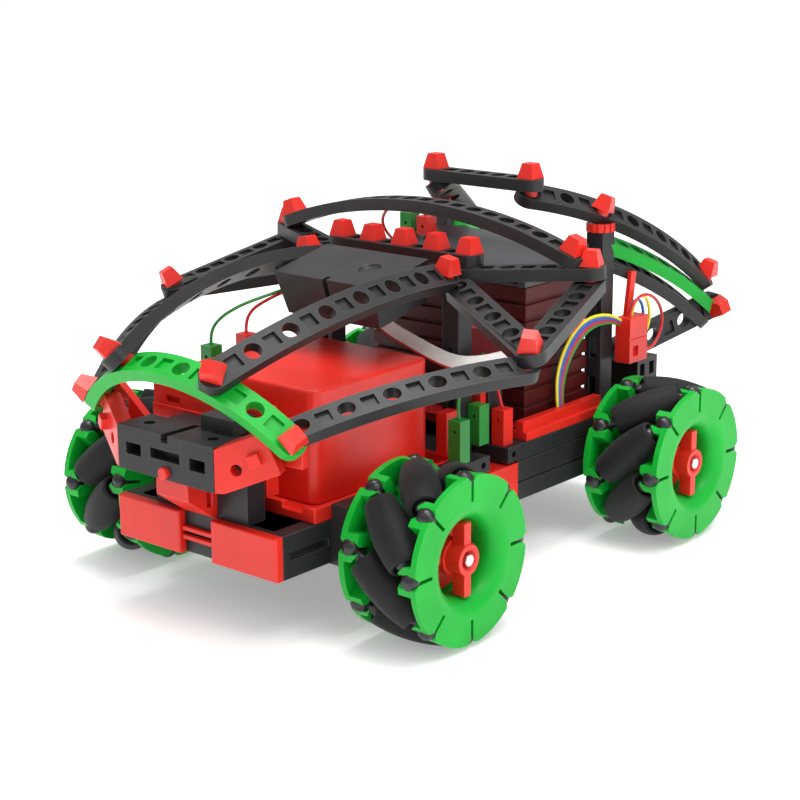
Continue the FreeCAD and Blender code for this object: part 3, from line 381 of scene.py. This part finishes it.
# ---------------------------------------------------------------- chassis pieces
CHASSIS = {
    "chassis_base": (BLACK, "black_plastic", 0.3),
    "front_motors": (BLACK, "black_plastic", 0.3),
    "rear_motors": (BLACK, "black_plastic", 0.3),
    "front_plates": (RED, "red_plastic", 0.25),
    "bumper_blocks": (BLACK, "black_plastic", 0.3),
    "bumper_brackets": (RED, "red_plastic", 0.3),
    "battery_tray": (RED, "red_plastic", 0.35),
    "battery_box": (RED, "red_plastic", 0.4),
    "sensor_housing": (BLACK, "black_plastic", 0.4),
    "support_pillars": (BLACK, "black_plastic", 0.3),
    "green_struts": (GREEN, "green_plastic", 0.3),
    "roof_struts": (BLACK_STRUT, "black_plastic", 0.3),
    "side_struts": (BLACK_STRUT, "black_plastic", 0.3),
    "rear_struts": (BLACK_STRUT, "black_plastic", 0.3),
    "rivets": (RED, "red_plastic", 0.5),
    "controller_case": (CASE_RED, "dark_red_plastic", 0.3),
    "controller_cover": (GREY, "grey_plastic", 0.5),
}
for name, (material, slot, width) in CHASSIS.items():
    refined(name, "chassis", [material], width=width)


RED_PLUGS = [mm(-37.8, -46, 0), mm(39.8, 4.8, 0), mm(-24.5, 40, 0)]
PLUG_REACH = 4 * MM


def plug_colour(centre, extent):
    """0 for a green plug, 1 for a red one."""
    return int(any((centre.xy - plug.xy).length < PLUG_REACH for plug in RED_PLUGS))


plugs = refined("connector_plugs", "chassis", [PLUG_GREEN, RED], rule=plug_colour, width=0.35)


def fitting_colour(centre, extent):
    """0 for plain red, 1 for the wide low pieces, 2 for the panel in front of the controller."""
    if centre.z < 50 * MM and extent.x > 60 * MM:
        return 1
    if 62 * MM < centre.z < 90 * MM and 14 * MM < centre.y < 22 * MM:
        return 2
    return 0


fittings = refined("red_fittings", "chassis", [RED, RED_DEEP, RED_PINK], rule=fitting_colour, width=0.35)


# ---------------------------------------------------------------- wires
def wire_curve(name, route, radius, material):
    """A wire: one smooth spline whose control points are the route's points.

    Each point's radius, not the bevel depth, holds the wire's own radius, so the curve's box fits it.
    """
    curve = bpy.data.curves.new(name, "CURVE")
    curve.dimensions = "3D"
    curve.resolution_u = 10
    curve.bevel_depth = 1.0 if radius else 0.0
    curve.bevel_resolution = 3
    curve.use_fill_caps = True
    spline = curve.splines.new("NURBS")
    spline.points.add(len(route) - 1)
    for point, place in zip(spline.points, route):
        point.co = (*mm(*place), 1.0)
        point.radius = radius * MM
    spline.order_u = 3
    spline.use_endpoint_u = True
    curve.materials.append(material)
    piece = bpy.data.objects.new(name, curve)
    bpy.context.scene.collection.objects.link(piece)
    return piece


def line_of(piece):
    """Points along a curve's own line, read with its bevel off."""
    curve = piece.data
    depth = curve.bevel_depth
    curve.bevel_depth = 0.0
    bpy.context.view_layer.update()
    mesh = bpy.data.meshes.new_from_object(piece)
    points = [vert.co.copy() for vert in mesh.vertices]
    bpy.data.meshes.remove(mesh)
    curve.bevel_depth = depth
    bpy.context.view_layer.update()
    return points


def length_of(points):
    return sum((second - first).length for first, second in zip(points, points[1:]))


WIRE_RADIUS = 0.6
ROUTES = {
    "green_front": [(-37.8, -63.5, 82.0), (-38.4, -63.2, 86.5), (-36.5, -60.0, 91.5),
                    (-32.5, -53.0, 95.5), (-27.5, -44.5, 98.2), (-23.9, -38.0, 100.2)],
    "red_front": [(-37.8, -46.0, 83.0), (-38.3, -45.6, 87.3), (-36.6, -43.6, 91.8),
                  (-32.2, -40.3, 95.2), (-27.4, -37.2, 98.0), (-23.9, -35.0, 100.0)],
    "green_side": [(41.8, -22.5, 59.7), (41.2, -22.9, 66.0), (39.9, -17.0, 72.5), (39.0, -8.0, 71.6),
                   (37.0, 2.0, 70.6), (30.0, 10.5, 71.8), (23.0, 14.8, 73.0)],
    "red_side": [(39.8, 4.8, 57.6), (39.4, 3.4, 62.0), (37.6, 4.2, 66.6), (33.6, 8.6, 69.4),
                 (29.0, 14.8, 70.4)],
    "red_top": [(-24.5, 40.0, 115.7), (-26.6, 39.4, 118.4), (-31.6, 38.4, 119.7), (-38.3, 37.8, 118.9),
                (-44.4, 38.3, 115.8), (-47.6, 40.0, 110.4), (-46.0, 43.0, 104.6),
                (-42.0, 45.6, 101.4), (-37.4, 46.8, 100.6)],
    "ribbon": [(37.4, 53.0, 103.5), (41.5, 52.5, 104.0), (45.0, 50.5, 100.5), (46.5, 48.0, 93.5),
               (46.2, 43.5, 86.5), (45.6, 36.0, 81.5), (45.2, 26.0, 79.0), (44.6, 15.0, 78.0),
               (43.0, 4.0, 77.0), (39.5, -7.0, 76.3), (34.8, -15.2, 77.0), (26.5, -17.4, 79.5),
               (17.0, -17.6, 82.5), (8.0, -19.0, 86.0), (3.4, -21.5, 90.6), (2.6, -22.0, 95.6)],
    "loop_red": [(48.0, 73.0, 80.0), (48.2, 74.0, 84.4), (48.5, 79.2, 87.6), (48.7, 86.0, 86.9),
                 (48.9, 92.4, 82.2), (49.0, 94.8, 75.4), (48.8, 92.2, 68.8), (48.4, 86.8, 64.8),
                 (48.0, 82.1, 66.2)],
    "loop_yellow": [(47.0, 76.0, 80.0), (47.1, 76.8, 84.0), (47.3, 80.4, 87.0), (47.5, 84.8, 86.0),
                    (47.6, 87.2, 81.4), (47.6, 87.4, 76.2), (47.3, 85.2, 71.6), (47.0, 82.1, 69.4)],
    "loop_blue": [(45.8, 76.4, 80.0), (45.8, 77.0, 83.0), (45.9, 79.6, 85.4), (46.0, 83.0, 84.8),
                  (46.1, 85.0, 81.4), (46.1, 85.4, 77.2), (46.0, 84.4, 73.4), (45.8, 82.1, 71.2)],
}
# The bundle's wires lie side by side: each is the first one moved inwards.
BUNDLE = [(46.0, 69.9, 79.0), (45.4, 66.2, 81.4), (43.6, 60.4, 82.6), (42.0, 54.4, 82.0),
          (41.3, 48.8, 79.6), (41.0, 44.0, 75.8), (40.8, 40.0, 70.8), (40.6, 37.4, 64.8),
          (40.5, 36.6, 58.4), (40.6, 37.4, 51.1)]
for name, inwards in {"yellow": 0.0, "blue": 1.3, "purple": 2.6, "red": 3.9, "green": 5.2}.items():
    ROUTES["bundle_" + name] = [(x, y + 0.71 * inwards, z - 0.71 * inwards) for x, y, z in BUNDLE]
COLOURS = {"green_front": "green", "red_front": "red", "green_side": "green", "red_side": "red",
           "red_top": "red", "loop_red": "red", "loop_yellow": "yellow", "loop_blue": "blue"}
COLOURS.update({"bundle_" + colour: colour for colour in ("yellow", "blue", "purple", "red", "green")})

for name, colour in COLOURS.items():
    piece = wire_curve("wire_" + name, ROUTES[name], WIRE_RADIUS, WIRE[colour])
    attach(piece, "chassis")
    line = line_of(piece)
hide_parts("wiring")

# The flat cable: strands side by side, along the line of its route. Its flat side turns on the way.
RIBBON_WIDTH = 5.6
STRANDS = 8
STRAND_STEPS = 4
FACING = [(0.0, (0, 0, 1)), (0.10, (0.3, 0, 1)), (0.22, (1, -0.1, 0.2)), (0.62, (1, -0.2, 0)),
          (0.78, (0.3, -1, 0.2)), (1.0, (0.1, -1, 0.1))]


def facing(share):
    """The way the flat side faces at a share of the cable's length."""
    for (low, first), (high, last) in zip(FACING, FACING[1:]):
        if share <= high:
            return Vector(first).lerp(Vector(last), (share - low) / (high - low)).normalized()
    return Vector(FACING[-1][1])


def flat_cable(name, path, materials):
    """A cable with a rounded outline for each strand; its edge strand has the second material."""
    strand = RIBBON_WIDTH * MM / STRANDS
    outline = []
    for side in (1, -1):
        for index in range(STRANDS * STRAND_STEPS):
            place = (index + 0.5) / STRAND_STEPS
            height = 0.62 * strand * (0.55 + 0.45 * math.sin(math.pi * (place % 1.0)))
            outline.append((side * (place * strand - RIBBON_WIDTH * MM / 2), side * height))
    bm = bmesh.new()
    rings, total, walked = [], length_of(path), 0.0
    for index, point in enumerate(path):
        before, after = path[max(index - 1, 0)], path[min(index + 1, len(path) - 1)]
        along = (after - before).normalized()
        outwards = facing(walked / total)
        outwards = (outwards - along * outwards.dot(along)).normalized()
        across = along.cross(outwards)
        rings.append([bm.verts.new(point + across * wide + outwards * high) for wide, high in outline])
        if index + 1 < len(path):
            walked += (path[index + 1] - point).length
    count = len(outline)
    for low, high in zip(rings, rings[1:]):
        for k in range(count):
            face = bm.faces.new((low[k], low[(k + 1) % count], high[(k + 1) % count], high[k]))
            face.smooth = True
            edge_strand = k < STRAND_STEPS or k >= count - STRAND_STEPS
            face.material_index = 1 if edge_strand else 0
    bm.faces.new(rings[0])
    bm.faces.new(rings[-1])
    bmesh.ops.recalc_face_normals(bm, faces=bm.faces)
    mesh = bpy.data.meshes.new(name)
    bm.to_mesh(mesh)
    bm.free()
    return new_piece(name, mesh, "chassis", materials)


guide = wire_curve("cable_guide", ROUTES["ribbon"], 0.0, WIRE["white"])
cable_path = line_of(guide)
bpy.data.objects.remove(guide)
cable = flat_cable("flat_cable", cable_path, [WIRE["white"], WIRE["red"]])

# ---------------------------------------------------------------- floor, light and camera
FLOOR_HALF = 6.0
FLOOR_GAP = 0.2 * MM
CAMERA_PLACE = mm(430.1, -506.2, 235.7)

floor_mesh = bpy.data.meshes.new("floor")
floor_mesh.from_pydata([(-FLOOR_HALF, -FLOOR_HALF, 0), (FLOOR_HALF, -FLOOR_HALF, 0),
                        (FLOOR_HALF, FLOOR_HALF, 0), (-FLOOR_HALF, FLOOR_HALF, 0)], [], [(0, 1, 2, 3)])
floor_material = bpy.data.materials.new("floor")
floor_material.use_nodes = True
floor_shader = floor_material.node_tree.nodes["Principled BSDF"]
floor_shader.inputs["Base Color"].default_value = (0.93, 0.93, 0.93, 1)
floor_shader.inputs["Roughness"].default_value = 0.8
floor_shader.inputs["Emission Color"].default_value = (1, 1, 1, 1)
floor_shader.inputs["Emission Strength"].default_value = 0.30
floor_mesh.materials.append(floor_material)
floor = bpy.data.objects.new("floor", floor_mesh)
bpy.context.scene.collection.objects.link(floor)
floor.location.z = cad_box[0][2] - FLOOR_GAP

# The camera sees a white backdrop; the light it gives is softer, and comes more from above.
world = bpy.data.worlds.new("studio")
world.use_nodes = True
sky = world.node_tree
backdrop = sky.nodes["Background"]
place = node_of(sky, "TexCoord").outputs["Generated"]
heights = node_of(sky, "SeparateXYZ")
sky.links.new(place, heights.inputs[0])
glow = ramp(sky, heights.outputs["Z"], -0.1, 0.9, 0.28, 0.95)
seen = node_of(sky, "LightPath").outputs["Is Camera Ray"]
strength = node_of(sky, "Math")
strength.operation = "MAXIMUM"
sky.links.new(glow, strength.inputs[0])
sky.links.new(seen, strength.inputs[1])
sky.links.new(strength.outputs[0], backdrop.inputs["Strength"])
backdrop.inputs["Color"].default_value = (1, 1, 1, 1)
bpy.context.scene.world = world
bpy.context.scene.view_settings.view_transform = "Standard"


def area_light(name, place, target, width, watts):
    """A round lamp, in metres and watts, that faces its target."""
    light = bpy.data.lights.new(name, "AREA")
    light.shape = "DISK"
    light.size = width
    light.energy = watts
    lamp = bpy.data.objects.new(name, light)
    lamp.location = place
    lamp.rotation_euler = (Vector(target) - Vector(place)).to_track_quat("-Z", "Y").to_euler()
    bpy.context.scene.collection.objects.link(lamp)


area_light("key", (0.60, -0.15, 1.10), (0, -0.02, 0.06), 0.6, 4.8)
area_light("side", (1.0, -0.12, 0.45), (0, 0, 0.05), 0.6, 2.0)
area_light("top", (-0.1, 0.05, 1.25), (0, 0, 0.08), 0.6, 8.0)

AZIMUTH, ELEVATION, ROLL = (math.radians(angle) for angle in (40.64, 15.24, -0.44))
back = Vector((math.sin(AZIMUTH) * math.cos(ELEVATION), -math.cos(AZIMUTH) * math.cos(ELEVATION),
               math.sin(ELEVATION)))
right = Vector((math.cos(AZIMUTH), math.sin(AZIMUTH), 0))
up = back.cross(right)
view_right = math.cos(ROLL) * right + math.sin(ROLL) * up
view_up = math.cos(ROLL) * up - math.sin(ROLL) * right
lens = bpy.data.cameras.new("camera")
lens.sensor_width = 36.0
lens.lens = 83.68
lens.clip_start = 0.01
camera = bpy.data.objects.new("camera", lens)
camera.matrix_world = (Matrix.Translation(CAMERA_PLACE)
                       @ Matrix((view_right, view_up, back)).transposed().to_4x4())
bpy.context.scene.collection.objects.link(camera)
bpy.context.scene.camera = camera
